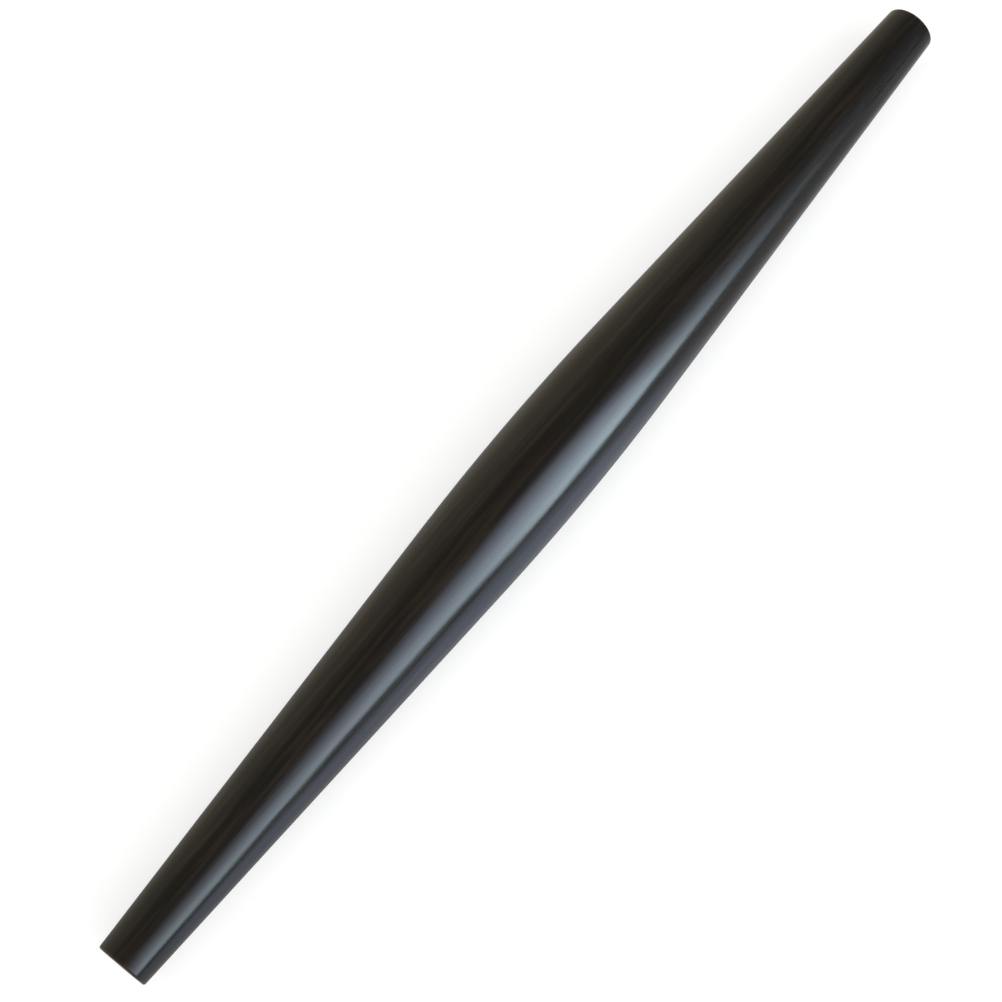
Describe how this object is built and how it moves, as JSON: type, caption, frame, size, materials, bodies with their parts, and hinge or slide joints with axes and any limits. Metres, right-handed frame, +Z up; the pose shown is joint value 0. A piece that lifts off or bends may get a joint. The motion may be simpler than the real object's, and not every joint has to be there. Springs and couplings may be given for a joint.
{
  "type": "rolling pin",
  "caption": "Solid wooden rolling pin: a rounded belly with straight tapers to square-cut ends, rolled under the palms to flatten dough.",
  "frame": {"origin": "on the surface the pin lies on, under the middle of its belly", "axes": "+X along the pin's axis, out of the far end face; +Y across it; +Z up, away from the surface"},
  "size_m": [0.35, 0.03, 0.0299],
  "materials": {
    "black_wood": "satin"
  },
  "bodies": {
    "root": {"turned_pin": "black_wood"}
  },
  "joints": []
}
